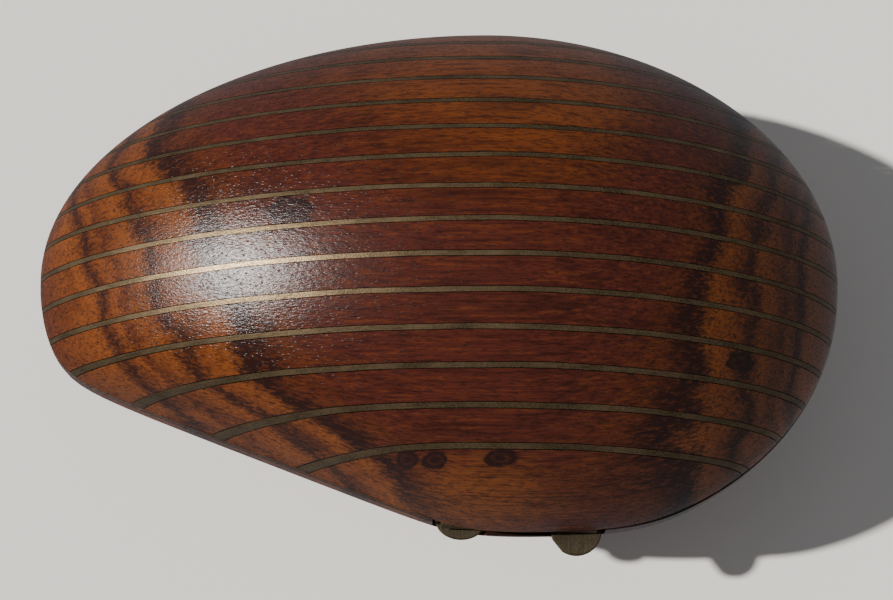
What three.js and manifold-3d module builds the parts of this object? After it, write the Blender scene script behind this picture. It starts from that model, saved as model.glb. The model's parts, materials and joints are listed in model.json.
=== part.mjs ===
// Inlaid trinket box: two carved hardwood valves that close like a clam shell, brass strips let into
// saw kerfs across the lid, and a small brass hinge at the beak of the shell.
// Millimetres, +Z up. X runs along the shell, -Y is the hinge side and +Y is the side that opens.

import * as THREE from "three";
import { mergeVertices } from "three/addons/utils/BufferGeometryUtils.js";
import Module from "manifold-3d";

const wasm = await Module();
wasm.setup();

// Outline of the shell on the seam plane, measured from the point under the lid's crown. It is an
// oval with a different reach each way and a little fuller towards the hinge, trimmed by two flats:
// one at the beak, where the hinge lies, and one that slopes away from the beak to the left.
const shell = {
  left: 65.15,
  right: 50.9,
  front: 37.2,
  back: 40.15,
  openRoundness: 1.985,
  hingeRoundness: 2.115,
  beakFlat: 38.1,
  slopeFlat: 36.85,
  slopeDegrees: 111,
  ovalPower: 20,
  flatPower: 40,
};

// How a valve curves over from its rim to its crown. Along the sloping flank the edge is thinned, so
// that it leaves the seam at a lower angle.
const dome = { footPower: 2, shoulderPower: 1.447, flankThinning: 0.148, thinningPower: 4 };

// The lid is domed from the seam up. The bottom valve goes straight down for the height of its band
// and is domed from there.
const lid = { side: 1, crown: 30.2, band: 0 };
const bowl = { side: -1, crown: 24.2, band: 3.4 };
const restingFlat = 0.6;
const seamGap = 0.24;

// Walls of the hollow, thicker behind the beak where the hinge is let in.
const wall = { side: 5.5, beak: 8, slope: 6 };

// Brass strips: sheet stood on edge in parallel saw kerfs.
const strip = {
  count: 15,
  first: -28.97,
  pitch: 4.61,
  thickness: 0.64,
  depth: 1.8,
  sideGap: 0.1,
  bottomGap: 0.15,
};

// Hinge, in its own frame: x along the pin, y in from the beak's edge, z up from the pin, which lies
// a little below the seam so that the lid's edge hides the barrels.
const hinge = {
  x: 4.3,
  y: -36.35,
  pinDrop: 1.1,
  turnDegrees: -1.5,
  pinRadius: 0.5,
  pinHole: 0.62,
  barrelRadius: 1,
  notchRadius: 2.1,
  halfLength: 12.2,
  lugOffset: 8.2,
  lugRadius: 3.6,
  leftReach: 2.1,
  rightReach: 3.9,
  lugTop: -1.45,
  lugThickness: 0.8,
  leafReach: 3.6,
  leafGap: 0.2,
  lowerLeafTop: 0.8,
  lidLeafHalf: 4.2,
  lidLeafFront: -0.5,
  lidLeafBottom: 1.4,
  lidLeafTop: 2.6,
  stemDepth: 0.9,
};

// How finely the rounded forms are cut into flats, and how the steps of a section bunch at its rim.
const archSteps = 20;
const cavityArchSteps = 16;
const bowlStations = 8;
const cavityStations = 6;
const heelStations = 4;
const lipStations = 3;
const stationEasing = 1.7;
const notchSides = 24;
const barrelSides = 16;
const holeSides = 12;
const lugSteps = 14;

const searchSteps = 60;
const mergeTolerance = 1e-4;
const overshoot = 1;
const outside = 2 * shell.left;

// Surface of the shell

function hollowed(outline) {
  return {
    ...outline,
    left: outline.left - wall.side,
    right: outline.right - wall.side,
    front: outline.front - wall.side,
    back: outline.back - wall.side,
    beakFlat: outline.beakFlat - wall.beak,
    slopeFlat: outline.slopeFlat - wall.slope,
  };
}

// How far towards the sloping flank a place lies: 1 on the flank's own edge.
function flankShare(outline, x, y) {
  const slope = THREE.MathUtils.degToRad(outline.slopeDegrees);
  return Math.max(0, (x * Math.cos(slope) - y * Math.sin(slope)) / outline.slopeFlat);
}

// 0 under the crown, 1 on the rim.
function rimShare(outline, x, y) {
  const reachX = x > 0 ? outline.right : outline.left;
  const reachY = y > 0 ? outline.front : outline.back;
  const roundness = y > 0 ? outline.openRoundness : outline.hingeRoundness;
  const powers = Math.abs(x / reachX) ** roundness + Math.abs(y / reachY) ** roundness;
  const oval = powers ** (1 / roundness);
  const beak = Math.max(0, -y / outline.beakFlat) ** outline.flatPower;
  const flank = flankShare(outline, x, y) ** outline.flatPower;
  return (oval ** outline.ovalPower + beak + flank) ** (1 / outline.ovalPower);
}

function heightAt(outline, crown, x, y) {
  const share = Math.min(1, rimShare(outline, x, y));
  const flank = Math.min(1, flankShare(outline, x, y)) ** dome.thinningPower;
  const power = 1 / dome.shoulderPower + dome.flankThinning * flank;
  return crown * (1 - share ** dome.footPower) ** power;
}

// The x at which the shell runs deepest on the line y.
function middleOf(outline, y) {
  let low = -outline.left;
  let high = outline.right;
  for (let step = 0; step < searchSteps; step += 1) {
    const third = (high - low) / 3;
    const leftward = rimShare(outline, low + third, y) < rimShare(outline, high - third, y);
    if (leftward) high -= third;
    else low += third;
  }
  return (low + high) / 2;
}

function bisect(inside, outside, isInside) {
  let a = inside;
  let b = outside;
  for (let step = 0; step < searchSteps; step += 1) {
    const half = (a + b) / 2;
    if (isInside(half)) a = half;
    else b = half;
  }
  return (a + b) / 2;
}

function reachesOf(outline) {
  const isInside = (y) => rimShare(outline, middleOf(outline, y), y) < 1;
  return {
    hingeSide: bisect(0, -outline.back - overshoot, isInside),
    openSide: bisect(0, outline.front + overshoot, isInside),
  };
}

// One upright section of the shell at y: an arch from rim to rim, drawn in by depth towards the
// middle of its foot, as [x, z] pairs.
function archAt(outline, crown, y, depth, steps) {
  const middle = middleOf(outline, y);
  const isInside = (x) => rimShare(outline, x, y) < 1;
  const left = bisect(middle, -outline.left - overshoot, isInside);
  const right = bisect(middle, outline.right + overshoot, isInside);
  const centre = (left + right) / 2;
  const half = (right - left) / 2;
  const points = [];
  for (let step = 0; step <= steps; step += 1) {
    const across = half * Math.sin((step / steps - 0.5) * Math.PI);
    const onRim = step === 0 || step === steps;
    const height = onRim ? 0 : heightAt(outline, crown, centre + across, y);
    const kept = 1 - depth / Math.hypot(across, height);
    points.push([centre + across * kept, height * kept]);
  }
  return points;
}

// Solids

function closedGeometry(positions, triangles) {
  let geometry = new THREE.BufferGeometry();
  geometry.setAttribute("position", new THREE.Float32BufferAttribute(positions, 3));
  geometry.setIndex(triangles);
  geometry = mergeVertices(geometry, mergeTolerance);
  const index = geometry.getIndex().array;
  const kept = [];
  for (let i = 0; i < index.length; i += 3) {
    const [a, b, c] = [index[i], index[i + 1], index[i + 2]];
    if (a !== b && b !== c && c !== a) kept.push(a, b, c);
  }
  geometry.setIndex(kept);
  return geometry;
}

// Skin over a row of rings with the same number of points, the first and last ring closed by fans.
function loft(rings) {
  const positions = rings.flat(2);
  const count = rings[0].length;
  const triangles = [];
  for (let ring = 0; ring + 1 < rings.length; ring += 1) {
    for (let i = 0; i < count; i += 1) {
      const next = (i + 1) % count;
      const a = ring * count + i;
      const b = ring * count + next;
      triangles.push(a, b, b + count, a, b + count, a + count);
    }
  }
  const last = (rings.length - 1) * count;
  for (let i = 1; i + 1 < count; i += 1) {
    triangles.push(0, i + 1, i, last, last + i, last + i + 1);
  }
  return closedGeometry(positions, triangles);
}

function signedVolume(geometry) {
  const position = geometry.getAttribute("position");
  const index = geometry.getIndex().array;
  const corner = [new THREE.Vector3(), new THREE.Vector3(), new THREE.Vector3()];
  let volume = 0;
  for (let i = 0; i < index.length; i += 3) {
    corner.forEach((point, side) => point.fromBufferAttribute(position, index[i + side]));
    volume += corner[0].dot(corner[1].cross(corner[2])) / 6;
  }
  return volume;
}

function facingOut(geometry) {
  if (signedVolume(geometry) > 0) return geometry;
  const index = geometry.getIndex().array;
  const turned = [];
  for (let i = 0; i < index.length; i += 3) turned.push(index[i], index[i + 2], index[i + 1]);
  geometry.setIndex(turned);
  return geometry;
}

function toSolid(geometry) {
  const bare = geometry.clone();
  bare.deleteAttribute("normal");
  bare.deleteAttribute("uv");
  const merged = facingOut(mergeVertices(bare, mergeTolerance));
  return new wasm.Manifold(
    new wasm.Mesh({
      numProp: 3,
      vertProperties: new Float32Array(merged.getAttribute("position").array),
      triVerts: new Uint32Array(merged.getIndex().array),
    }),
  );
}

function toGeometry(solid) {
  const mesh = solid.getMesh();
  const geometry = new THREE.BufferGeometry();
  geometry.setAttribute("position", new THREE.BufferAttribute(mesh.vertProperties, 3));
  geometry.setIndex(new THREE.BufferAttribute(mesh.triVerts, 1));
  geometry.computeVertexNormals();
  return geometry;
}

// Distances that grow from 0 to 1, closest together at the start, where a valve is steepest.
function easedSteps(count) {
  return Array.from({ length: count }, (unused, step) => ((step + 1) / (count + 1)) ** stationEasing);
}

// A valve's form over an outline. Each station is a y and the depth at which the section runs. The
// dome starts past the valve's band, and past carries the flat face beyond the seam.
function domeSolid(outline, valve, crown, stations, steps, past) {
  const reach = reachesOf(outline);
  const foot = valve.side * valve.band;
  const flat = -valve.side * past;
  const pole = (y) => {
    const x = middleOf(outline, y);
    const tip = Array.from({ length: steps + 1 }, () => [x, y, foot]);
    return [[x, y, flat], ...tip, [x, y, flat]];
  };
  const ring = ({ y, depth }) => {
    const arch = archAt(outline, crown, y, depth, steps);
    const points = arch.map(([x, z]) => [x, y, foot + valve.side * z]);
    return [[points[0][0], y, flat], ...points, [points[steps][0], y, flat]];
  };
  return toSolid(loft([pole(reach.hingeSide), ...stations.map(ring), pole(reach.openSide)]));
}

function plainStations(outline, count) {
  const reach = reachesOf(outline);
  const middle = (reach.hingeSide + reach.openSide) / 2;
  const eased = easedSteps(count);
  const behind = eased.map((share) => reach.hingeSide + share * (middle - reach.hingeSide));
  const before = eased.map((share) => reach.openSide + share * (middle - reach.openSide));
  return [...behind, middle, ...before.reverse()].map((y) => ({ y, depth: 0 }));
}

function kerfStations() {
  const reach = reachesOf(shell);
  const halfKerf = strip.thickness / 2 + strip.sideGap;
  const kerfDepth = strip.depth + strip.bottomGap;
  const stations = [];
  const firstEdge = strip.first - halfKerf;
  const lastEdge = strip.first + (strip.count - 1) * strip.pitch + halfKerf;
  for (const share of easedSteps(heelStations)) {
    stations.push({ y: reach.hingeSide + share * (firstEdge - reach.hingeSide), depth: 0 });
  }
  for (let number = 0; number < strip.count; number += 1) {
    const y = strip.first + number * strip.pitch;
    stations.push({ y: y - halfKerf, depth: 0 });
    stations.push({ y: y - halfKerf, depth: kerfDepth });
    stations.push({ y: y + halfKerf, depth: kerfDepth });
    stations.push({ y: y + halfKerf, depth: 0 });
  }
  for (const share of easedSteps(lipStations).reverse()) {
    stations.push({ y: reach.openSide + share * (lastEdge - reach.openSide), depth: 0 });
  }
  return stations;
}

// A cut made in a valve for the hinge, taken from the hinge's own frame to the valve's rim.
function cutFor(valve, geometry) {
  return toSolid(
    geometry
      .rotateZ(THREE.MathUtils.degToRad(hinge.turnDegrees))
      .translate(hinge.x, hinge.y, -hinge.pinDrop - (valve.side * seamGap) / 2),
  );
}

function blockBetween(low, high) {
  const size = high.map((value, axis) => value - low[axis]);
  return new THREE.BoxGeometry(...size).translate(
    ...low.map((value, axis) => value + size[axis] / 2),
  );
}

function barrel(radius, centre, halfLength, sides) {
  return new THREE.CylinderGeometry(radius, radius, 2 * halfLength, sides)
    .rotateZ(Math.PI / 2)
    .translate(centre, 0, 0);
}

function hollowOf(valve) {
  const outline = hollowed(shell);
  const stations = plainStations(outline, cavityStations);
  const crown = valve.crown - wall.side;
  return domeSolid(outline, valve, crown, stations, cavityArchSteps, overshoot);
}

// Lower valve: a plain carved bowl with a small flat under its belly to stand on, channelled at the
// beak for the barrels and recessed for the two leaves.
function lowerValve() {
  const stations = plainStations(shell, bowlStations);
  const carved = domeSolid(shell, bowl, bowl.crown, stations, archSteps, 0);
  const flatHeight = restingFlat - bowl.crown - bowl.band;
  const belowFlat = blockBetween([-outside, -outside, -outside], [outside, outside, flatHeight]);
  const channel = cutFor(bowl, barrel(hinge.notchRadius, 0, hinge.halfLength, notchSides));
  let valve = carved.subtract(toSolid(belowFlat)).subtract(hollowOf(bowl)).subtract(channel);
  for (const side of [-1, 1]) {
    const centre = side * hinge.lugOffset;
    const half = hinge.lugRadius + hinge.leafGap;
    const bottom = hinge.lugTop - hinge.lugThickness - hinge.leafGap;
    const recess = blockBetween(
      [centre - half, -hinge.rightReach - overshoot, bottom],
      [centre + half, hinge.leafReach + hinge.leafGap, hinge.pinDrop + overshoot],
    );
    valve = valve.subtract(cutFor(bowl, recess));
  }
  return toGeometry(valve);
}

// Lid: the upper valve with a saw kerf for each strip, recessed for its leaf of the hinge.
function upperValve() {
  const carved = domeSolid(shell, lid, lid.crown, kerfStations(), archSteps, 0);
  const half = hinge.lidLeafHalf + hinge.leafGap;
  const recess = blockBetween(
    [-half, hinge.lidLeafFront - hinge.leafGap, 0],
    [half, hinge.leafReach + hinge.leafGap, hinge.lidLeafTop + hinge.leafGap],
  );
  return toGeometry(carved.subtract(hollowOf(lid)).subtract(cutFor(lid, recess)));
}

// A strip of brass sheet that follows the arch of the lid in an upright plane, flush outside.
function inlayStrip(y) {
  const near = y - strip.thickness / 2;
  const far = y + strip.thickness / 2;
  const corners = [
    [near, 0],
    [far, 0],
    [far, strip.depth],
    [near, strip.depth],
  ].map(([edge, depth]) => ({ y: edge, arch: archAt(shell, lid.crown, edge, depth, archSteps) }));
  const rings = [];
  for (let step = 0; step <= archSteps; step += 1) {
    rings.push(corners.map(({ y: edge, arch }) => [arch[step][0], edge, arch[step][1]]));
  }
  return facingOut(loft(rings));
}

// Outer leaf of the hinge: a block let into the lower rim, a barrel for the pin, and a half-round
// lug that stands out behind the beak. The right lug stands out further than the left one.
function lugLeaf(side, reach) {
  const centre = side * hinge.lugOffset;
  const lugBottom = hinge.lugTop - hinge.lugThickness;
  const halfRound = new THREE.Shape();
  const straight = hinge.lugRadius - reach;
  halfRound.moveTo(hinge.lugRadius, straight);
  halfRound.lineTo(hinge.lugRadius, hinge.leafReach);
  halfRound.lineTo(-hinge.lugRadius, hinge.leafReach);
  halfRound.lineTo(-hinge.lugRadius, straight);
  halfRound.absarc(0, straight, hinge.lugRadius, Math.PI, 2 * Math.PI, false);
  const plate = new THREE.ExtrudeGeometry(halfRound, {
    depth: hinge.lugThickness,
    bevelEnabled: false,
    curveSegments: lugSteps,
  }).translate(centre, 0, lugBottom);
  const block = blockBetween(
    [centre - hinge.lugRadius, 0, lugBottom],
    [centre + hinge.lugRadius, hinge.leafReach, hinge.lowerLeafTop],
  );
  const solid = toSolid(plate)
    .add(toSolid(block))
    .add(toSolid(barrel(hinge.barrelRadius, centre, hinge.lugRadius, barrelSides)))
    .subtract(toSolid(barrel(hinge.pinHole, centre, hinge.lugRadius + overshoot, holeSides)));
  return toGeometry(solid);
}

// Middle leaf: let into the lid's rim, with a stem down to the barrel between the other two.
function lidLeaf() {
  const half = hinge.lidLeafHalf;
  const leaf = blockBetween(
    [-half, hinge.lidLeafFront, hinge.lidLeafBottom],
    [half, hinge.leafReach, hinge.lidLeafTop],
  );
  const stem = blockBetween(
    [-half, hinge.lidLeafFront, 0],
    [half, hinge.stemDepth, hinge.lidLeafBottom],
  );
  const solid = toSolid(leaf)
    .add(toSolid(stem))
    .add(toSolid(barrel(hinge.barrelRadius, 0, half, barrelSides)))
    .subtract(toSolid(barrel(hinge.pinHole, 0, half + overshoot, holeSides)));
  return toGeometry(solid);
}

// Finishes

const rosewood = { color: 0x6a2a17, roughness: 0.3, metalness: 0 };
const brass = { color: 0x8c7c50, roughness: 0.45, metalness: 1 };

function named(name, geometry, finish) {
  const mesh = new THREE.Mesh(geometry, new THREE.MeshStandardMaterial(finish));
  mesh.name = name;
  return mesh;
}

// Assembly: the middle of the whole box, lugs included, is over the origin, and it stands on z = 0.

const baseBody = new THREE.Group();
const lidBody = new THREE.Group();
const hingeFrame = new THREE.Group();
const lidHingeFrame = new THREE.Group();

const lower = named("valve_lower", lowerValve(), rosewood);
lower.position.z = -seamGap / 2;
baseBody.add(lower, hingeFrame);

const upper = named("valve_upper", upperValve(), rosewood);
upper.position.z = seamGap / 2;
lidBody.add(upper, lidHingeFrame);

for (let number = 0; number < strip.count; number += 1) {
  const name = `inlay_strip_${String(number + 1).padStart(2, "0")}`;
  const mesh = named(name, inlayStrip(strip.first + number * strip.pitch), brass);
  mesh.position.z = seamGap / 2;
  lidBody.add(mesh);
}

for (const frame of [hingeFrame, lidHingeFrame]) {
  frame.position.set(hinge.x, hinge.y, -hinge.pinDrop);
  frame.rotation.z = THREE.MathUtils.degToRad(hinge.turnDegrees);
}
hingeFrame.add(named("hinge_leaf_left", lugLeaf(-1, hinge.leftReach), brass));
hingeFrame.add(named("hinge_leaf_right", lugLeaf(1, hinge.rightReach), brass));
const pinHalf = hinge.lugOffset + hinge.lugRadius;
hingeFrame.add(named("hinge_pin", barrel(hinge.pinRadius, 0, pinHalf, holeSides), brass));
lidHingeFrame.add(named("hinge_leaf_lid", lidLeaf(), brass));

const box = new THREE.Group();
box.add(baseBody, lidBody);
box.updateMatrixWorld(true);
const bounds = new THREE.Box3().setFromObject(box, true);
const middle = bounds.getCenter(new THREE.Vector3());
box.position.set(-middle.x, -middle.y, -bounds.min.z);

export default box;
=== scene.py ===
# Inlaid trinket box: two carved rosewood valves that close like a clam shell, brass strips let into
# saw kerfs across the lid, and a small brass hinge at the beak. Metres, +Z up, the hinge side at -Y.

import json
import math

import bpy
from mathutils import Matrix, Vector


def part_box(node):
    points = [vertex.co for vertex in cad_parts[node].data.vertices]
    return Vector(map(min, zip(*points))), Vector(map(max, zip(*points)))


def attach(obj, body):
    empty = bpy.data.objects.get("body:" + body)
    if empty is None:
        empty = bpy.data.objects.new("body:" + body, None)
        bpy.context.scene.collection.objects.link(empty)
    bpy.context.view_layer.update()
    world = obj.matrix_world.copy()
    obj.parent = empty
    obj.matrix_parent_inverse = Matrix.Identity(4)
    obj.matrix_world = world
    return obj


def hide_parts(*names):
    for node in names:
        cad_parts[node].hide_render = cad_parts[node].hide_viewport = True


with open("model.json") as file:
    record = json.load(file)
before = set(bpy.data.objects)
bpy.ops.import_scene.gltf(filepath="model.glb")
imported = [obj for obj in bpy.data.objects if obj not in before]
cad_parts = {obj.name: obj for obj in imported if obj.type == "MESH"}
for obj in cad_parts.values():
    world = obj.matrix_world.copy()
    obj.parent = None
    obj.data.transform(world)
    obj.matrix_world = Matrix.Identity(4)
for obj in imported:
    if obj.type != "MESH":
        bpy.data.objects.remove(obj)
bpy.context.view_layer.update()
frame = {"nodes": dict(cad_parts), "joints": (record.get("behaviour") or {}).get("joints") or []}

# Lower valve
# The bottom half of the shell, carved and hollowed from one block of rosewood, polished outside and
# left bare inside. It stands on a small flat under its belly and is cut at the beak for the hinge.

mm = 0.001
shell = {
    "Left": 65.15 * mm,
    "Right": 50.9 * mm,
    "Open side": 37.2 * mm,
    "Hinge side": 40.15 * mm,
    "Beak flat": 38.1 * mm,
    "Slope flat": 36.85 * mm,
}
open_roundness = 1.985
hinge_roundness = 2.115
slope_angle = math.radians(111)
oval_power = 20
flat_power = 40
shoulder_power = 1 / 1.447
flank_thinning = 0.148
thinning_power = 4

walls = {
    "Left": 5.5 * mm,
    "Right": 5.5 * mm,
    "Open side": 5.5 * mm,
    "Hinge side": 5.5 * mm,
    "Beak flat": 8 * mm,
    "Slope flat": 6 * mm,
    "Crown": 5.5 * mm,
}
crown_lower = 24.2 * mm
band_lower = 3.4 * mm
arris = 0.12 * mm
rim_crowding = 1.4

spokes = 264
rings_outside = 96
rings_on_band = 2
rings_on_rim = 12
rings_on_edge = 2
rings_inside = 48
crease_degrees = 35
merge_distance = 1e-6
clear_past = 1 * mm

lower_low, lower_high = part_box("valve_lower")
upper_low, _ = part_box("valve_upper")
seam_height = (lower_high.z + upper_low.z) / 2
crest = Vector((lower_low.x + shell["Left"], lower_high.y - shell["Open side"], seam_height))


class Wire:
    """A socket of a node tree. Arithmetic on it adds the Math nodes that work it out."""

    def __init__(self, tree, socket=None):
        self.tree = tree
        self.socket = socket

    def node(self, kind, settings=None, sockets=None, out=0):
        """Adds a node: its settings first, then the value or link of each socket."""
        made = self.tree.nodes.new(kind)
        for name, value in (settings or {}).items():
            if name == "stops":
                set_stops(made.color_ramp, value)
            else:
                setattr(made, name, value)
        for key, value in (sockets or {}).items():
            wires = value if isinstance(value, list) else [value]
            for wire in wires:
                if isinstance(wire, Wire):
                    self.tree.links.new(wire.socket, made.inputs[key])
                else:
                    made.inputs[key].default_value = wire
        return Wire(self.tree, made.outputs[out])

    def maths(self, operation, *terms):
        return self.node("ShaderNodeMath", {"operation": operation}, dict(enumerate(terms)))

    def __add__(self, other):
        return self.maths("ADD", self, other)

    def __radd__(self, other):
        return self.maths("ADD", other, self)

    def __sub__(self, other):
        return self.maths("SUBTRACT", self, other)

    def __rsub__(self, other):
        return self.maths("SUBTRACT", other, self)

    def __mul__(self, other):
        return self.maths("MULTIPLY", self, other)

    def __rmul__(self, other):
        return self.maths("MULTIPLY", other, self)

    def __truediv__(self, other):
        return self.maths("DIVIDE", self, other)

    def __rtruediv__(self, other):
        return self.maths("DIVIDE", other, self)

    def __pow__(self, other):
        return self.maths("POWER", self, other)

    def __abs__(self):
        return self.maths("ABSOLUTE", self)

    def __gt__(self, other):
        return self.maths("GREATER_THAN", self, other)

    def at_least(self, other):
        return self.maths("MAXIMUM", self, other)

    def at_most(self, other):
        return self.maths("MINIMUM", self, other)

    def parts(self):
        return [self.node("ShaderNodeSeparateXYZ", None, {0: self}, axis) for axis in range(3)]


def set_stops(ramp, stops):
    """Puts a colour ramp's stops in place, each a position and a linear colour."""
    while len(ramp.elements) < len(stops):
        ramp.elements.new(1)
    for element, (position, colour) in zip(ramp.elements, stops):
        element.position = position
        element.color = (*colour, 1)


def vector_of(tree, x, y, z):
    return Wire(tree).node("ShaderNodeCombineXYZ", None, {"X": x, "Y": y, "Z": z})


def named_tree(name, labels):
    """A Geometry Nodes tree with a number input for each label. Gives the tree and its inputs."""
    tree = bpy.data.node_groups.new(name, "GeometryNodeTree")
    for label in labels:
        tree.interface.new_socket(label, in_out="INPUT", socket_type="NodeSocketFloat")
    entry = tree.nodes.new("NodeGroupInput")
    return tree, {label: Wire(tree, entry.outputs[label]) for label in labels}


def end_tree(tree, result, label, kind):
    tree.interface.new_socket(label, in_out="OUTPUT", socket_type=kind)
    leave = tree.nodes.new("NodeGroupOutput")
    tree.links.new(result.socket, leave.inputs[0])


def marked(mesh, number):
    """The mesh with a number on each face that says which of its finishes the face has."""
    return mesh.node(
        "GeometryNodeStoreNamedAttribute",
        {"data_type": "INT", "domain": "FACE"},
        {"Geometry": mesh, "Name": "finish", "Value": number},
    )


def end_piece(tree, mesh, main_finish, marked_finishes=()):
    """Ends a piece's tree: real geometry, its main finish all over, then each other where marked."""
    real = mesh.node("GeometryNodeRealizeInstances", None, {"Geometry": mesh})
    coated = real.node("GeometryNodeSetMaterial", None, {"Geometry": real, "Material": main_finish})
    for number, finish in marked_finishes:
        mark = Wire(tree).node(
            "GeometryNodeInputNamedAttribute", {"data_type": "INT"}, {"Name": "finish"}
        )
        chosen = 1 - (abs(mark - number) > 0.5)
        coated = coated.node(
            "GeometryNodeSetMaterial",
            None,
            {"Geometry": coated, "Selection": chosen, "Material": finish},
        )
    end_tree(tree, coated, "Geometry", "NodeSocketGeometry")


def shell_surface():
    """Node group: a place on the shell's skin, by its bearing from the crown and its share of the
    way out to the rim."""
    labels = ["Bearing", "Share", *shell, "Crown"]
    tree, given = named_tree("shell surface", labels)
    bearing = given["Bearing"]
    share = given["Share"]
    across = bearing.maths("COSINE", bearing)
    along = bearing.maths("SINE", bearing)
    reach_x = given["Left"] + (given["Right"] - given["Left"]) * (across > 0)
    reach_y = given["Hinge side"] + (given["Open side"] - given["Hinge side"]) * (along > 0)
    roundness = hinge_roundness + (open_roundness - hinge_roundness) * (along > 0)
    powers = abs(across / reach_x) ** roundness + abs(along / reach_y) ** roundness
    oval = powers ** (1 / roundness)
    beak = (0 - along).at_least(0) / given["Beak flat"]
    downhill = across * math.cos(slope_angle) - along * math.sin(slope_angle)
    flank = downhill.at_least(0) / given["Slope flat"]
    corner = (beak / oval) ** flat_power + (flank / oval) ** flat_power
    root = (1 + 4 * corner * share**oval_power) ** 0.5
    radius = share / oval * (2 / (1 + root)) ** (1 / oval_power)
    power = shoulder_power + flank_thinning * (flank * radius).at_most(1) ** thinning_power
    height = given["Crown"] * (1 - share * share).at_least(0) ** power
    place = vector_of(tree, radius * across, radius * along, height)
    end_tree(tree, place, "Position", "NodeSocketVector")
    return tree


skin = shell_surface()


def ring_grid(tree, rings):
    """A sheet of rings around the crown. Gives it with each point's ring number and bearing."""
    grid = Wire(tree).node(
        "GeometryNodeMeshGrid",
        None,
        {"Size X": rings, "Size Y": 1, "Vertices X": rings + 1, "Vertices Y": spokes + 1},
    )
    x, y, _ = Wire(tree).node("GeometryNodeInputPosition").parts()
    return grid, x + rings / 2, (y + 0.5) * math.tau


def placed_on_shell(tree, given, grid, bearing, share, wall_share, height_of, side):
    """The sheet's points moved onto the skin, drawn in by a share of the walls."""
    sizes = {label: given[label] - wall_share * given[label + " wall"] for label in walls}
    point = Wire(tree).node(
        "GeometryNodeGroup",
        {"node_tree": skin},
        {"Bearing": bearing * side, "Share": share, **sizes},
    )
    x, y, z = point.parts()
    moved = grid.node(
        "GeometryNodeSetPosition",
        None,
        {"Geometry": grid, "Position": vector_of(tree, x, y, height_of(z) * side)},
    )
    return moved.node("GeometryNodeMergeByDistance", None, {"Geometry": moved, "Distance": merge_distance})


polished_mark = 1
painted_shade_mark = 2


def hollow_half(tree, given, side):
    """A whole hollow valve as one sheet: over the outside, straight up its band to the rim, in
    across the rim, and over the hollow back to the middle. The outer edge of its rim is marked for painted
    shade, darker wood that stands in for the shadow in the seam."""
    rim_start = rings_outside + rings_on_band
    rim_end = rim_start + rings_on_rim
    rings = rim_end + rings_on_band + rings_inside
    grid, ring, bearing = ring_grid(tree, rings)
    on_inside = ring > rim_start
    on_edge = on_inside * (1 - (ring > rim_start + rings_on_edge))
    # The first two rings across the rim carry the painted-shade mark: darker wood that stands in for the
    # shadow in the seam between the valves.
    finished = marked(grid, polished_mark * (1 - on_inside) + painted_shade_mark * on_edge)
    outward = (ring / rings_outside).at_most((rings - ring) / rings_inside).at_most(1)
    share = outward.maths("SINE", outward * (math.pi / 2))
    up_band = ((ring - rings_outside) / rings_on_band).at_least(0).at_most(1)
    over_rim = ((ring - rim_start) / rings_on_rim).at_least(0).at_most(1)
    down_band = ((ring - rim_end) / rings_on_band).at_least(0).at_most(1)
    foot = given["Band"] * (1 - up_band + down_band)
    outer_arris = arris * (1 - (ring > rim_start + 0.5))

    def height_of(z):
        return (z + foot).at_least(outer_arris)

    return placed_on_shell(
        tree, given, finished, bearing, share, over_rim**rim_crowding, height_of, side
    )


def turned_copy(mesh, place, angle=(0, 0, 0)):
    return mesh.node(
        "GeometryNodeTransform", None, {"Geometry": mesh, "Translation": place, "Rotation": angle}
    )


def block(tree, low, high):
    """A block between two corners."""
    size = tuple(b - a for a, b in zip(low, high))
    middle = tuple((a + b) / 2 for a, b in zip(low, high))
    return turned_copy(Wire(tree).node("GeometryNodeMeshCube", None, {"Size": size}), middle)


def boolean(operation, body, tools):
    settings = {"operation": operation, "solver": "MANIFOLD"}
    if operation == "DIFFERENCE":
        return body.node("GeometryNodeMeshBoolean", settings, {"Mesh 1": body, "Mesh 2": tools})
    return body.node("GeometryNodeMeshBoolean", settings, {"Mesh 2": [body, *tools]})


def settled(tree, name, values):
    """Runs a tree on an object of its own and keeps the result as a plain mesh."""
    piece = bpy.data.objects.new(name, bpy.data.meshes.new(name))
    bpy.context.scene.collection.objects.link(piece)
    maker = piece.modifiers.new(name, "NODES")
    maker.node_group = tree
    for item in tree.interface.items_tree:
        if item.in_out == "INPUT":
            maker[item.identifier] = values[item.name]
    bpy.context.view_layer.update()
    made = piece.evaluated_get(bpy.context.evaluated_depsgraph_get())
    mesh = bpy.data.meshes.new_from_object(made)
    piece.modifiers.remove(maker)
    piece.data = mesh
    mesh.name = name
    return piece


def softly_shaded(mesh, edge_degrees):
    """Smooth shading that stops at edges sharper than the angle."""
    mesh.shade_smooth()
    mesh.set_sharp_from_angle(angle=math.radians(edge_degrees))


# The hinge's own frame has x along its pin, y in from the beak and z up from the pin, which lies a
# little below the seam.
hinge_joint = frame["joints"][0]
hinge_place = Vector(hinge_joint["pos_m"])
hinge_turn = math.atan2(hinge_joint["axis"][1], hinge_joint["axis"][0])
channel_radius = 2.1 * mm
channel_half_length = 12.2 * mm
channel_sides = 48
recess_top = 3 * mm
leaf_reach = 3.6 * mm
leaf_gap = 0.08 * mm
lug_radius = 3.6 * mm
lug_offset = 8.2 * mm
lug_reach = {-1: 2.1 * mm, 1: 3.9 * mm}
lug_top = -1.45 * mm
lug_thickness = 0.8 * mm

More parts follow.
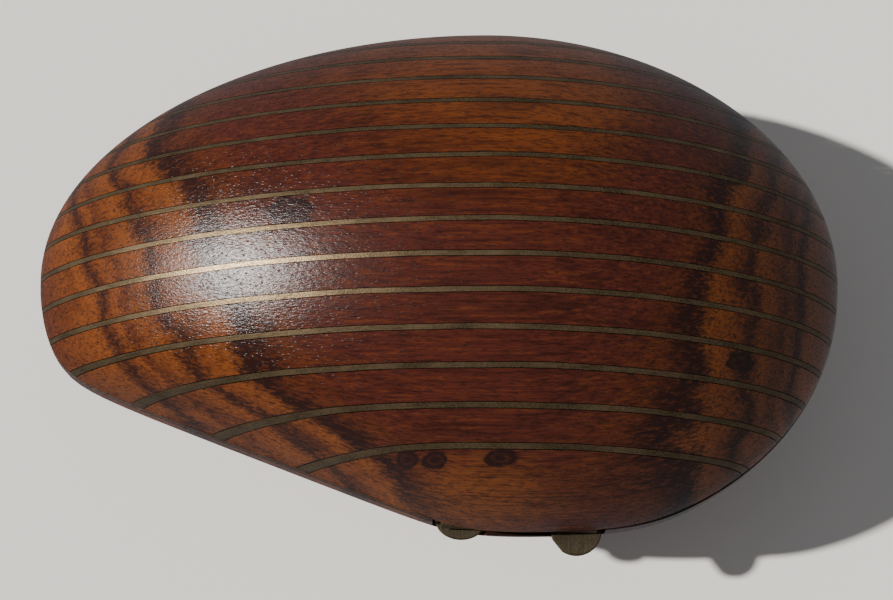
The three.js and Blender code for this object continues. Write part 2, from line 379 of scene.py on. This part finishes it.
ring_low = 10.0
ring_high = 46.0
orange = (0.120, 0.030, 0.0045)
amber = (0.165, 0.044, 0.006)
brown = (0.075, 0.0165, 0.0035)
dark = (0.016, 0.0035, 0.002)
purple = (0.060, 0.0115, 0.006)
ring_tones = [
    (10, brown),
    (15, orange),
    (18.6, amber),
    (20.2, dark),
    (21.4, orange),
    (22.0, amber),
    (22.8, brown),
    (23.6, orange),
    (25.4, amber),
    (26.7, dark),
    (27.9, orange),
    (29.4, amber),
    (30.6, dark),
    (31.6, dark),
    (33.0, brown),
    (34.4, purple),
    (37.2, purple),
    (39.2, brown),
    (40.6, orange),
    (43.5, orange),
    (46, brown),
]
ring_stops = [((place - ring_low) / (ring_high - ring_low), tone) for place, tone in ring_tones]
golden_tone = (0.150, 0.043, 0.007, 1)
smudge_tone = (0.022, 0.004, 0.0015, 1)
dark_streak_tone = (0.018, 0.0028, 0.001, 1)
pale_streak_tone = (0.125, 0.031, 0.007, 1)
fibre_tone = (0.014, 0.002, 0.001, 1)
pore_tone = (0.006, 0.0015, 0.001, 1)
knot_tone = (0.012, 0.003, 0.002, 1)
painted_shade_tone = (0.006, 0.003, 0.002, 1)
wood_sheen = 0.36
grain_depth = 0.06 * mm
heart_line = (crest.x, crest.y - 5 * mm, seam_height - 8 * mm)

# A golden patch and the knots are given in millimetres from the heart line: their middle, and how far
# they reach along and across the grain.
golden_patch = (-1.0, -29.0, 10, 5)


def rosewood(name, turn, rough_finish, knots=(), painted_shade=0):
    """Rosewood cut across its growth rings. The rings lie round a heart line that runs along the
    grain, so a carved end shows them as upright bands and the top as long streaks."""
    material = bpy.data.materials.new(name)
    material.use_nodes = True
    tree = material.node_tree
    shader = tree.nodes["Principled BSDF"]
    start = Wire(tree)
    objects = start.node("ShaderNodeTexCoord", out="Object")
    board = start.node(
        "ShaderNodeMapping",
        {"vector_type": "POINT"},
        {
            "Vector": objects,
            "Location": tuple(-value / mm for value in heart_line),
            "Rotation": turn,
            "Scale": (1 / mm, 1 / mm, 1 / mm),
        },
    )
    x, y, z = board.parts()

    def noise(along, across, detail, seed, roughness=0.55):
        """Noise drawn out along the grain, from -0.5 to 0.5. Both sizes are in millimetres."""
        place = vector_of(tree, x / along + seed, y / across, z / across)
        sockets = {"Vector": place, "Scale": 1.0, "Detail": detail, "Roughness": roughness}
        return start.node("ShaderNodeTexNoise", {"noise_dimensions": "3D"}, sockets) - 0.5

    def smooth(value, low, high):
        sockets = {"Value": value, "From Min": low, "From Max": high}
        return start.node("ShaderNodeMapRange", {"interpolation_type": "SMOOTHSTEP"}, sockets)

    def mix(share, first, second):
        return start.node(
            "ShaderNodeMix", {"data_type": "RGBA"}, {0: share, 6: first, 7: second}, 2
        )

    def around(middle_x, middle_y, half_x, half_y, waver):
        """How far out a place is from a spot on the board, 1 at its edge."""
        dx = (x - middle_x) / half_x
        dy = (y - middle_y) / half_y
        return (dx * dx + dy * dy) ** 0.5 + noise(2.2, 1.1, 3, middle_x) * waver

    # Growth rings, bent by slow drifts and combed into fine teeth where they are cut across.
    drift = noise(60, 34, 1, 3.1) * 9
    lean = noise(26, 8, 2, 7.7) * 5
    comb = noise(3.6, 0.4, 3, 1.3) * 3.2
    radius = ((y + drift) * (y + drift) + z * z) ** 0.5 + lean + comb
    sockets = {"Value": radius, "From Min": ring_low, "From Max": ring_high}
    ring_share = start.node("ShaderNodeMapRange", None, sockets)
    figure = start.node("ShaderNodeValToRGB", {"stops": ring_stops}, {"Fac": ring_share})

    # Dark smudges, long streaks of the grain, and short fibres that lie a little askew to it.
    smudge = smooth(noise(11, 5, 4, 4.4, 0.65), -0.02, 0.2)
    glow = smooth(around(*golden_patch, 1.6), 1.3, 0.2) * 0.75
    golden = mix(glow, figure, golden_tone)
    smudged = mix(smudge * 0.5, golden, smudge_tone)
    streaks = noise(14, 0.5, 4, 5.9, 0.65)
    darker = mix(smooth(streaks, -0.02, 0.2) * 0.75, smudged, dark_streak_tone)
    lighter = mix(smooth(streaks, 0.0, -0.2) * 0.55, darker, pale_streak_tone)
    askew = vector_of(tree, x / 1.6 + y / 1.7, y / 0.26, z / 0.26)
    sockets = {"Vector": askew, "Scale": 1.0, "Detail": 3.0, "Roughness": 0.62}
    fibres = start.node("ShaderNodeTexNoise", {"noise_dimensions": "3D"}, sockets) - 0.5
    fibred = mix(smooth(fibres, -0.01, 0.15) * 0.6, lighter, fibre_tone)

    # Pores are short dark pits along the grain.
    cell = vector_of(tree, x / 1.7, y / 0.34, z / 0.34)
    pore_distance = start.node(
        "ShaderNodeTexVoronoi", {"feature": "F1"}, {"Vector": cell, "Scale": 1.0}, "Distance"
    )
    pores = 1 - smooth(pore_distance, 0.06, 0.3)
    toned = mix(pores * 0.7, fibred, pore_tone)
    for knot in knots:
        spot = around(*knot, 1.1)
        ring = smooth(abs(spot - 0.85), 0.3, 0.0) * 0.45
        eye = smooth(spot, 1.2, 0.75) * 0.7 + smooth(spot, 0.45, 0.1) * 0.3 + ring
        toned = mix(eye.at_most(0.95), toned, knot_tone)
    # Painted shade: the wood's colour is mixed towards a near-black tone.
    if painted_shade:
        toned = mix(painted_shade, toned, painted_shade_tone)
    tree.links.new(toned.socket, shader.inputs["Base Color"])

    rough = rough_finish + pores * 0.2 + fibres * 0.16 + streaks * 0.08
    tree.links.new(rough.socket, shader.inputs["Roughness"])
    relief = start.node(
        "ShaderNodeBump",
        None,
        {"Height": fibres + streaks * 0.6 - pores * 0.4, "Distance": grain_depth, "Strength": 1.0},
    )
    tree.links.new(relief.socket, shader.inputs["Normal"])
    shader.inputs["Specular IOR Level"].default_value = wood_sheen
    return material


level = (0, 0, 0)
tipped = (0.3, 0, 0)
polish = 0.25
polished_lower = rosewood("polished rosewood, lower valve", level, polish)
bare_wood = rosewood("bare rosewood", tipped, 0.62)
# Painted shade: rosewood mixed most of the way to near black. It goes on the rim's outer edge and in the
# hinge channel, where the seam and the channel lie in shadow.
painted_shade_wood = rosewood("rosewood with painted seam shade", level, 0.55, painted_shade=0.85)

lower_sizes = {**shell, "Crown": crown_lower, "Band": band_lower}


def valve_inputs(sizes):
    values = dict(sizes)
    values.update({label + " wall": wall for label, wall in walls.items()})
    return values


def at_hinge(mesh):
    return turned_copy(mesh, hinge_place, (0, 0, hinge_turn))


def cylinder(tree, radius, half_length, sides):
    """A plain round bar along the hinge."""
    made = Wire(tree).node(
        "GeometryNodeMeshCylinder",
        None,
        {"Vertices": sides, "Radius": radius, "Depth": 2 * half_length},
    )
    return turned_copy(made, (0, 0, 0), (0, math.pi / 2, 0))


lower_tree, lower_given = named_tree("lower valve", valve_inputs(lower_sizes))
lower_place = (crest.x, crest.y, lower_high.z)
bowl = turned_copy(hollow_half(lower_tree, lower_given, -1), lower_place)
below = shell["Left"] * 2
under_flat = block(lower_tree, (-below, -below, -below), (below, below, 0))
channel = cylinder(lower_tree, channel_radius, channel_half_length, channel_sides)
# The hinge channel's faces take the painted shade, which stands in for the shadow in that recess.
lower_cuts = [marked(under_flat, polished_mark), at_hinge(marked(channel, painted_shade_mark))]
for side in (-1, 1):
    half = lug_radius + leaf_gap
    recess = block(
        lower_tree,
        (side * lug_offset - half, -lug_reach[1] - clear_past, lug_top - lug_thickness - leaf_gap),
        (side * lug_offset + half, leaf_reach + leaf_gap, recess_top),
    )
    lower_cuts.append(at_hinge(recess))
end_piece(
    lower_tree,
    boolean("DIFFERENCE", bowl, lower_cuts),
    bare_wood,
    [(polished_mark, polished_lower), (painted_shade_mark, painted_shade_wood)],
)
lower_valve = settled(lower_tree, "lower_valve", valve_inputs(lower_sizes))
softly_shaded(lower_valve.data, crease_degrees)
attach(lower_valve, "base")
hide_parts("valve_lower")

# Lid
# The upper half of the shell, carved from the same board. Fifteen saw kerfs cross it from rim to rim,
# all upright and parallel, and its rim is recessed at the beak for the middle leaf of the hinge.

crown_upper = 30.2 * mm
kerf_gap = 0.09 * mm
kerf_depth = 1.95 * mm
lid_leaf_half = 4.2 * mm
lid_leaf_front = -0.5 * mm
lid_leaf_top = 2.6 * mm
slab_height = 40 * mm
slab_length = shell["Left"] * 2.2
slab_stations = 120
sway_length = 16 * mm
sway_spacing = 5 * mm
sway_width = 0.28 * mm

strip_names = sorted(name for name in frame["nodes"] if name.startswith("inlay_strip_"))
strip_boxes = [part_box(name) for name in strip_names[:2]]
first_strip, second_strip = [(low.y + high.y) / 2 - crest.y for low, high in strip_boxes]
strip_thickness = strip_boxes[0][1].y - strip_boxes[0][0].y
strip_pitch = second_strip - first_strip


def solid_half(tree, given, skirt, depth_share):
    """A solid dome over the outline, its flat face a skirt below the rim."""
    rings = rings_outside + 2
    grid, ring, bearing = ring_grid(tree, rings)
    outward = (ring / rings_outside).at_most(1)
    share = outward.maths("SINE", outward * (math.pi / 2)).at_most(rings - ring)
    below_rim = ring > rings_outside + 0.5

    def height_of(z):
        return z * (1 - below_rim) - skirt * below_rim

    return placed_on_shell(tree, given, grid, bearing, share, depth_share, height_of, 1)


def sawn_slabs(tree, thickness):
    """One upright slab for each strip. Each wanders a little along its length, as a hand saw does."""
    slab = Wire(tree).node(
        "GeometryNodeMeshCube",
        None,
        {
            "Size": (slab_length, thickness, slab_height + 2 * clear_past),
            "Vertices X": slab_stations,
            "Vertices Y": 2,
            "Vertices Z": 2,
        },
    )
    row = Wire(tree).node(
        "GeometryNodeMeshLine",
        {"mode": "OFFSET"},
        {
            "Count": len(strip_names),
            "Start Location": (0, first_strip, slab_height / 2 - clear_past),
            "Offset": (0, strip_pitch, 0),
        },
    )
    standing = row.node("GeometryNodeInstanceOnPoints", None, {"Points": row, "Instance": slab})
    real = standing.node("GeometryNodeRealizeInstances", None, {"Geometry": standing})
    x, y, _ = Wire(tree).node("GeometryNodeInputPosition").parts()
    place = vector_of(tree, x / sway_length, y / sway_spacing, 0.0)
    sway = Wire(tree).node("ShaderNodeTexNoise", None, {"Vector": place, "Scale": 1.0, "Detail": 1.0})
    return real.node(
        "GeometryNodeSetPosition",
        None,
        {"Geometry": real, "Offset": vector_of(tree, 0.0, (sway - 0.5) * sway_width, 0.0)},
    )


lid_knots = [
    (-11.2, -25.2, 1.5, 1.0),
    (-7.6, -25.4, 1.6, 1.0),
    (1.4, -25.3, 2.2, 0.9),
    (33.7, -12.0, 1.9, 1.3),
    (-26.9, 5.5, 3.2, 2.3),
]
polished_lid = rosewood("polished rosewood, lid", level, polish, lid_knots)
rim_setback = 0.3 * mm
upper_sizes = {**shell, "Crown": crown_upper, "Band": 0.0}
for label in ("Slope flat", "Hinge side"):
    upper_sizes[label] = shell[label] - rim_setback
upper_values = valve_inputs(upper_sizes)
upper_values["Kerf depth"] = kerf_depth
upper_tree, upper_given = named_tree("lid", upper_values)
kerf_given = {**upper_given, **{label + " wall": upper_given["Kerf depth"] for label in walls}}
slabs = sawn_slabs(upper_tree, strip_thickness + 2 * kerf_gap)
under_kerfs = solid_half(upper_tree, kerf_given, 2 * clear_past, 1)
kerfs = boolean("DIFFERENCE", slabs, [under_kerfs])
carved = hollow_half(upper_tree, upper_given, 1)
sawn = turned_copy(boolean("DIFFERENCE", carved, [kerfs]), (crest.x, crest.y, upper_low.z))
lid_half = lid_leaf_half + leaf_gap
lid_recess = block(
    upper_tree,
    (-lid_half, lid_leaf_front - leaf_gap, 0),
    (lid_half, leaf_reach + leaf_gap, lid_leaf_top + leaf_gap),
)
recessed = boolean("DIFFERENCE", sawn, [at_hinge(lid_recess)])
end_piece(upper_tree, recessed, bare_wood, [(polished_mark, polished_lid), (painted_shade_mark, painted_shade_wood)])
lid = settled(upper_tree, "lid_valve", upper_values)
softly_shaded(lid.data, crease_degrees)
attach(lid, "lid")
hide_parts("valve_upper")

# Inlay
# Strips of brass sheet stood on edge in the kerfs, filed and sanded flush with the wood. They are
# dull and olive where they have tarnished, and brighter where hands have rubbed them.

strip_depth = 1.8 * mm
blotch_size = 0.22 * mm
cloud_size = 5 * mm
file_depth = 0.02 * mm
tarnished_metal = 0.8


def old_brass(name, base, bright, rough, scratch_along):
    """Tarnished brass with the marks of the file and of sanding."""
    material = bpy.data.materials.new(name)
    material.use_nodes = True
    tree = material.node_tree
    shader = tree.nodes["Principled BSDF"]
    start = Wire(tree)
    objects = start.node("ShaderNodeTexCoord", out="Object")
    x, y, z = objects.parts()
    sizes = [(blotch_size,) * 3, (cloud_size,) * 3, scratch_along]
    blotch, cloud, scratch = [
        start.node(
            "ShaderNodeTexNoise",
            None,
            {"Vector": vector_of(tree, x / a, y / b, z / c), "Scale": 1.0, "Detail": 2.0},
        )
        - 0.5
        for a, b, c in sizes
    ]
    tone = (0.45 + blotch * 1.8 + cloud * 1.1 + scratch * 0.4).at_least(0).at_most(1)
    colour = start.node("ShaderNodeMix", {"data_type": "RGBA"}, {0: tone, 6: base, 7: bright}, 2)
    tree.links.new(colour.socket, shader.inputs["Base Color"])
    tree.links.new((rough + scratch * 0.2 - blotch * 0.3).socket, shader.inputs["Roughness"])
    relief = start.node(
        "ShaderNodeBump",
        None,
        {"Height": scratch * 0.5 + blotch, "Distance": file_depth, "Strength": 1.0},
    )
    tree.links.new(relief.socket, shader.inputs["Normal"])
    shader.inputs["Metallic"].default_value = tarnished_metal
    return material


inlay_brass = old_brass(
    "tarnished inlay brass",
    (0.055, 0.038, 0.019, 1),
    (0.21, 0.146, 0.080, 1),
    0.38,
    (1.4 * mm, 0.12 * mm, 1.4 * mm),
)
inlay_values = {**upper_sizes, **{label + " wall": strip_depth for label in walls}}
inlay_tree, inlay_given = named_tree("brass strips", inlay_values)
sheet = sawn_slabs(inlay_tree, strip_thickness)
dome = solid_half(inlay_tree, inlay_given, 0.0, 0)
under_strips = solid_half(inlay_tree, inlay_given, clear_past, 1)
curved = boolean("DIFFERENCE", boolean("INTERSECT", sheet, [dome]), [under_strips])
end_piece(inlay_tree, turned_copy(curved, (crest.x, crest.y, upper_low.z)), inlay_brass)
inlay = settled(inlay_tree, "inlay_strips", inlay_values)
softly_shaded(inlay.data, crease_degrees)
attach(inlay, "lid")
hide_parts(*strip_names)

# Lower hinge leaves
# Two leaves of cast and filed brass, let into the rim of the lower valve at the beak. Each carries a
# barrel for the pin and a half-round lug that stands out past the beak. One was filed a little flat.

hinge_brass = old_brass(
    "filed hinge brass",
    (0.040, 0.031, 0.018, 1),
    (0.135, 0.104, 0.064, 1),
    0.45,
    (0.2 * mm, 3 * mm, 3 * mm),
)
barrel_radius = 0.85 * mm
barrel_bevel = 0.12 * mm
barrel_setback = 0.8 * mm
pin_hole = 0.62 * mm
pin_hole_sides = 32
lower_leaf_top = 0.8 * mm
lug_bottom = lug_top - lug_thickness
lug_bevel = 0.16 * mm
lug_straight = {-1: 0.7 * mm, 1: -0.3 * mm}
file_flat = 3.44 * mm
file_flat_bearing = math.radians(220)
brass_crease_degrees = 25


def softened(tree, outline, low, high, bevel, radius):
    """A form with an upright side and softened edges. Its rings follow the outline, which gives x and
    y for a bearing: the top's middle, its edge, the side's top and bottom, and the underside's edge
    and middle."""
    grid, ring, bearing = ring_grid(tree, 5)
    on_top_edge = ring > 0.5
    past_bevel = ring > 1.5
    past_side = ring > 2.5
    past_foot = ring > 3.5
    at_foot_middle = ring > 4.5
    on_side = past_bevel * (1 - past_foot)
    share = on_top_edge * (1 - at_foot_middle) * (1 - bevel / radius * (1 - on_side))
    height = high - bevel * past_bevel - (high - low - 2 * bevel) * past_side - bevel * past_foot
    x, y = outline(bearing)
    moved = grid.node(
        "GeometryNodeSetPosition",
        None,
        {"Geometry": grid, "Position": vector_of(tree, x * share, y * share, height)},
    )
    return moved.node(
        "GeometryNodeMergeByDistance", None, {"Geometry": moved, "Distance": merge_distance}
    )


def rod(tree, radius, half_length):
    """A round bar along the hinge, its ends softened."""

    def circle(bearing):
        return radius * bearing.maths("COSINE", bearing), radius * bearing.maths("SINE", bearing)

    made = softened(tree, circle, -half_length, half_length, barrel_bevel, radius)
    return turned_copy(made, (0, 0, 0), (0, math.pi / 2, 0))


def plate(tree, half_width, front, depth, low, high, bevel):
    """A leaf: square towards the wood. Its front is round when its reach is given, with one flat left
    by the file."""

    def edge(bearing):
        across = bearing.maths("COSINE", bearing)
        along = bearing.maths("SINE", bearing)
        square = (abs(across) / half_width).at_least(abs(along) / depth)
        if front:
            filed = bearing.maths("COSINE", bearing - file_flat_bearing) / file_flat
            oval = (across / half_width) ** 2 + (along / front) ** 2
            round_front = filed.at_least(oval**0.5)
            square = square + (round_front - square) * (1 - (along > 0))
        return across / square, along / square

    return softened(tree, edge, low, high, bevel, half_width)


def drilled(tree, body, half_length):
    """The body with the hole for the pin through its barrel."""
    return boolean("DIFFERENCE", body, [cylinder(tree, pin_hole, half_length, pin_hole_sides)])


def hinge_piece(name, tree, result, body, node_name):
    end_piece(tree, at_hinge(result), hinge_brass)
    piece = settled(tree, name, {})
    softly_shaded(piece.data, brass_crease_degrees)
    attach(piece, body)
    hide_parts(node_name)


for side, word in ((-1, "left"), (1, "right")):
    leaf_tree, _ = named_tree("lower leaf, " + word, [])
    straight = lug_straight[side]
    tongue = plate(
        leaf_tree,
        lug_radius,
        lug_reach[side] + straight,
        leaf_reach - straight,
        lug_bottom,
        lug_top,
        lug_bevel,
    )
    seat = block(
        leaf_tree,
        (-lug_radius, 0, (lug_bottom + lug_top) / 2),
        (lug_radius, leaf_reach, lower_leaf_top),
    )
    barrel = turned_copy(
        rod(leaf_tree, barrel_radius, lug_radius - barrel_setback / 2),
        (-side * barrel_setback / 2, 0, 0),
    )
    joined = boolean("UNION", turned_copy(tongue, (0, straight, 0)), [seat, barrel])
    beside = turned_copy(drilled(leaf_tree, joined, 2 * lug_radius), (side * lug_offset, 0, 0))
    hinge_piece("hinge_lower_leaf_" + word, leaf_tree, beside, "base", "hinge_leaf_" + word)

# Middle hinge leaf
# One brass leaf let into the rim of the lid. A short stem under it carries the middle barrel, which
# turns between the other two.

lid_leaf_bottom = 1.4 * mm
lid_leaf_bevel = 0.1 * mm
stem_depth = 0.9 * mm
stem_inset = 0.05 * mm
stem_overlap = 0.3 * mm

lid_leaf_tree, _ = named_tree("lid leaf", [])
lid_leaf_middle = (lid_leaf_front + leaf_reach) / 2
lid_plate = plate(
    lid_leaf_tree,
    lid_leaf_half,
    None,
    leaf_reach - lid_leaf_middle,
    lid_leaf_bottom,
    lid_leaf_top,
    lid_leaf_bevel,
)
stem = block(
    lid_leaf_tree,
    (-lid_leaf_half + stem_inset, lid_leaf_front + stem_inset, 0),
    (lid_leaf_half - stem_inset, stem_depth, lid_leaf_bottom + stem_overlap),
)
lid_barrel = rod(lid_leaf_tree, barrel_radius, lid_leaf_half)
lid_joined = boolean("UNION", turned_copy(lid_plate, (0, lid_leaf_middle, 0)), [stem, lid_barrel])
lid_drilled = drilled(lid_leaf_tree, lid_joined, 2 * lid_leaf_half)
hinge_piece("hinge_middle_leaf", lid_leaf_tree, lid_drilled, "lid", "hinge_leaf_lid")

# Hinge pin
# A brass wire pushed through the three barrels. Its ends are filed flush with the outer ones, under
# the edge of the lid.

pin_radius = 0.5 * mm

pin_tree, _ = named_tree("hinge pin", [])
pin = rod(pin_tree, pin_radius, lug_offset + lug_radius - barrel_setback)
hinge_piece("hinge_pin_rod", pin_tree, pin, "base", "hinge_pin")

# Floor, light and camera
# A plain pale floor, one sun from the left as in the photo, and a dim even sky. The camera looks down
# on the lid from the hinge side. Reflections leave the floor out, so that the dark wood keeps its tone.

floor_size = 3.0
floor_colour = (0.80, 0.775, 0.735, 1)
floor_roughness = 0.8
floor_mesh = bpy.data.meshes.new("floor")
corners = [(-1, -1), (1, -1), (1, 1), (-1, 1)]
floor_mesh.from_pydata([(x * floor_size, y * floor_size, 0) for x, y in corners], [], [(0, 1, 2, 3)])
floor = bpy.data.objects.new("floor", floor_mesh)
bpy.context.scene.collection.objects.link(floor)
floor.visible_glossy = False
floor_paint = bpy.data.materials.new("pale floor")
floor_paint.use_nodes = True
floor_shader = floor_paint.node_tree.nodes["Principled BSDF"]
floor_shader.inputs["Base Color"].default_value = floor_colour
floor_shader.inputs["Roughness"].default_value = floor_roughness
floor_mesh.materials.append(floor_paint)

sky_colour = (0.93, 0.95, 1.0, 1)
sky_strength = 0.22
world = bpy.data.worlds.new("studio")
bpy.context.scene.world = world
world.use_nodes = True
sky = world.node_tree.nodes["Background"]
sky.inputs["Color"].default_value = sky_colour
sky.inputs["Strength"].default_value = sky_strength

sun_height = math.radians(43)
sun_bearing = math.radians(181)
sun_strength = 6.2
sun_width = math.radians(1.9)
sun_colour = (1.0, 0.97, 0.93)
sun_data = bpy.data.lights.new("key light", "SUN")
sun_data.energy = sun_strength
sun_data.angle = sun_width
sun_data.color = sun_colour
sun = bpy.data.objects.new("key light", sun_data)
bpy.context.scene.collection.objects.link(sun)
towards_sun = Vector(
    (
        math.cos(sun_height) * math.cos(sun_bearing),
        math.cos(sun_height) * math.sin(sun_bearing),
        math.sin(sun_height),
    )
)
sun.rotation_euler = towards_sun.to_track_quat("Z", "Y").to_euler()

photo_width = 893
focal_pixels = 1938.8
view_height = math.radians(73.7)
view_distance = 281.7 * mm
view_roll = math.radians(0.2)
aim = Vector((crest.x - 6.02 * mm, crest.y - 3.69 * mm, seam_height))
sensor_width = 36
nearest_seen = 10 * mm
camera_data = bpy.data.cameras.new("camera")
camera_data.sensor_width = sensor_width
camera_data.lens = sensor_width * focal_pixels / photo_width
camera_data.clip_start = nearest_seen
camera = bpy.data.objects.new("camera", camera_data)
bpy.context.scene.collection.objects.link(camera)
back = Vector((0, -math.cos(view_height), math.sin(view_height)))
camera.location = aim + back * view_distance
facing = back.to_track_quat("Z", "Y").to_matrix().to_4x4()
camera.rotation_euler = (facing @ Matrix.Rotation(view_roll, 4, "Z")).to_euler()
bpy.context.scene.camera = camera
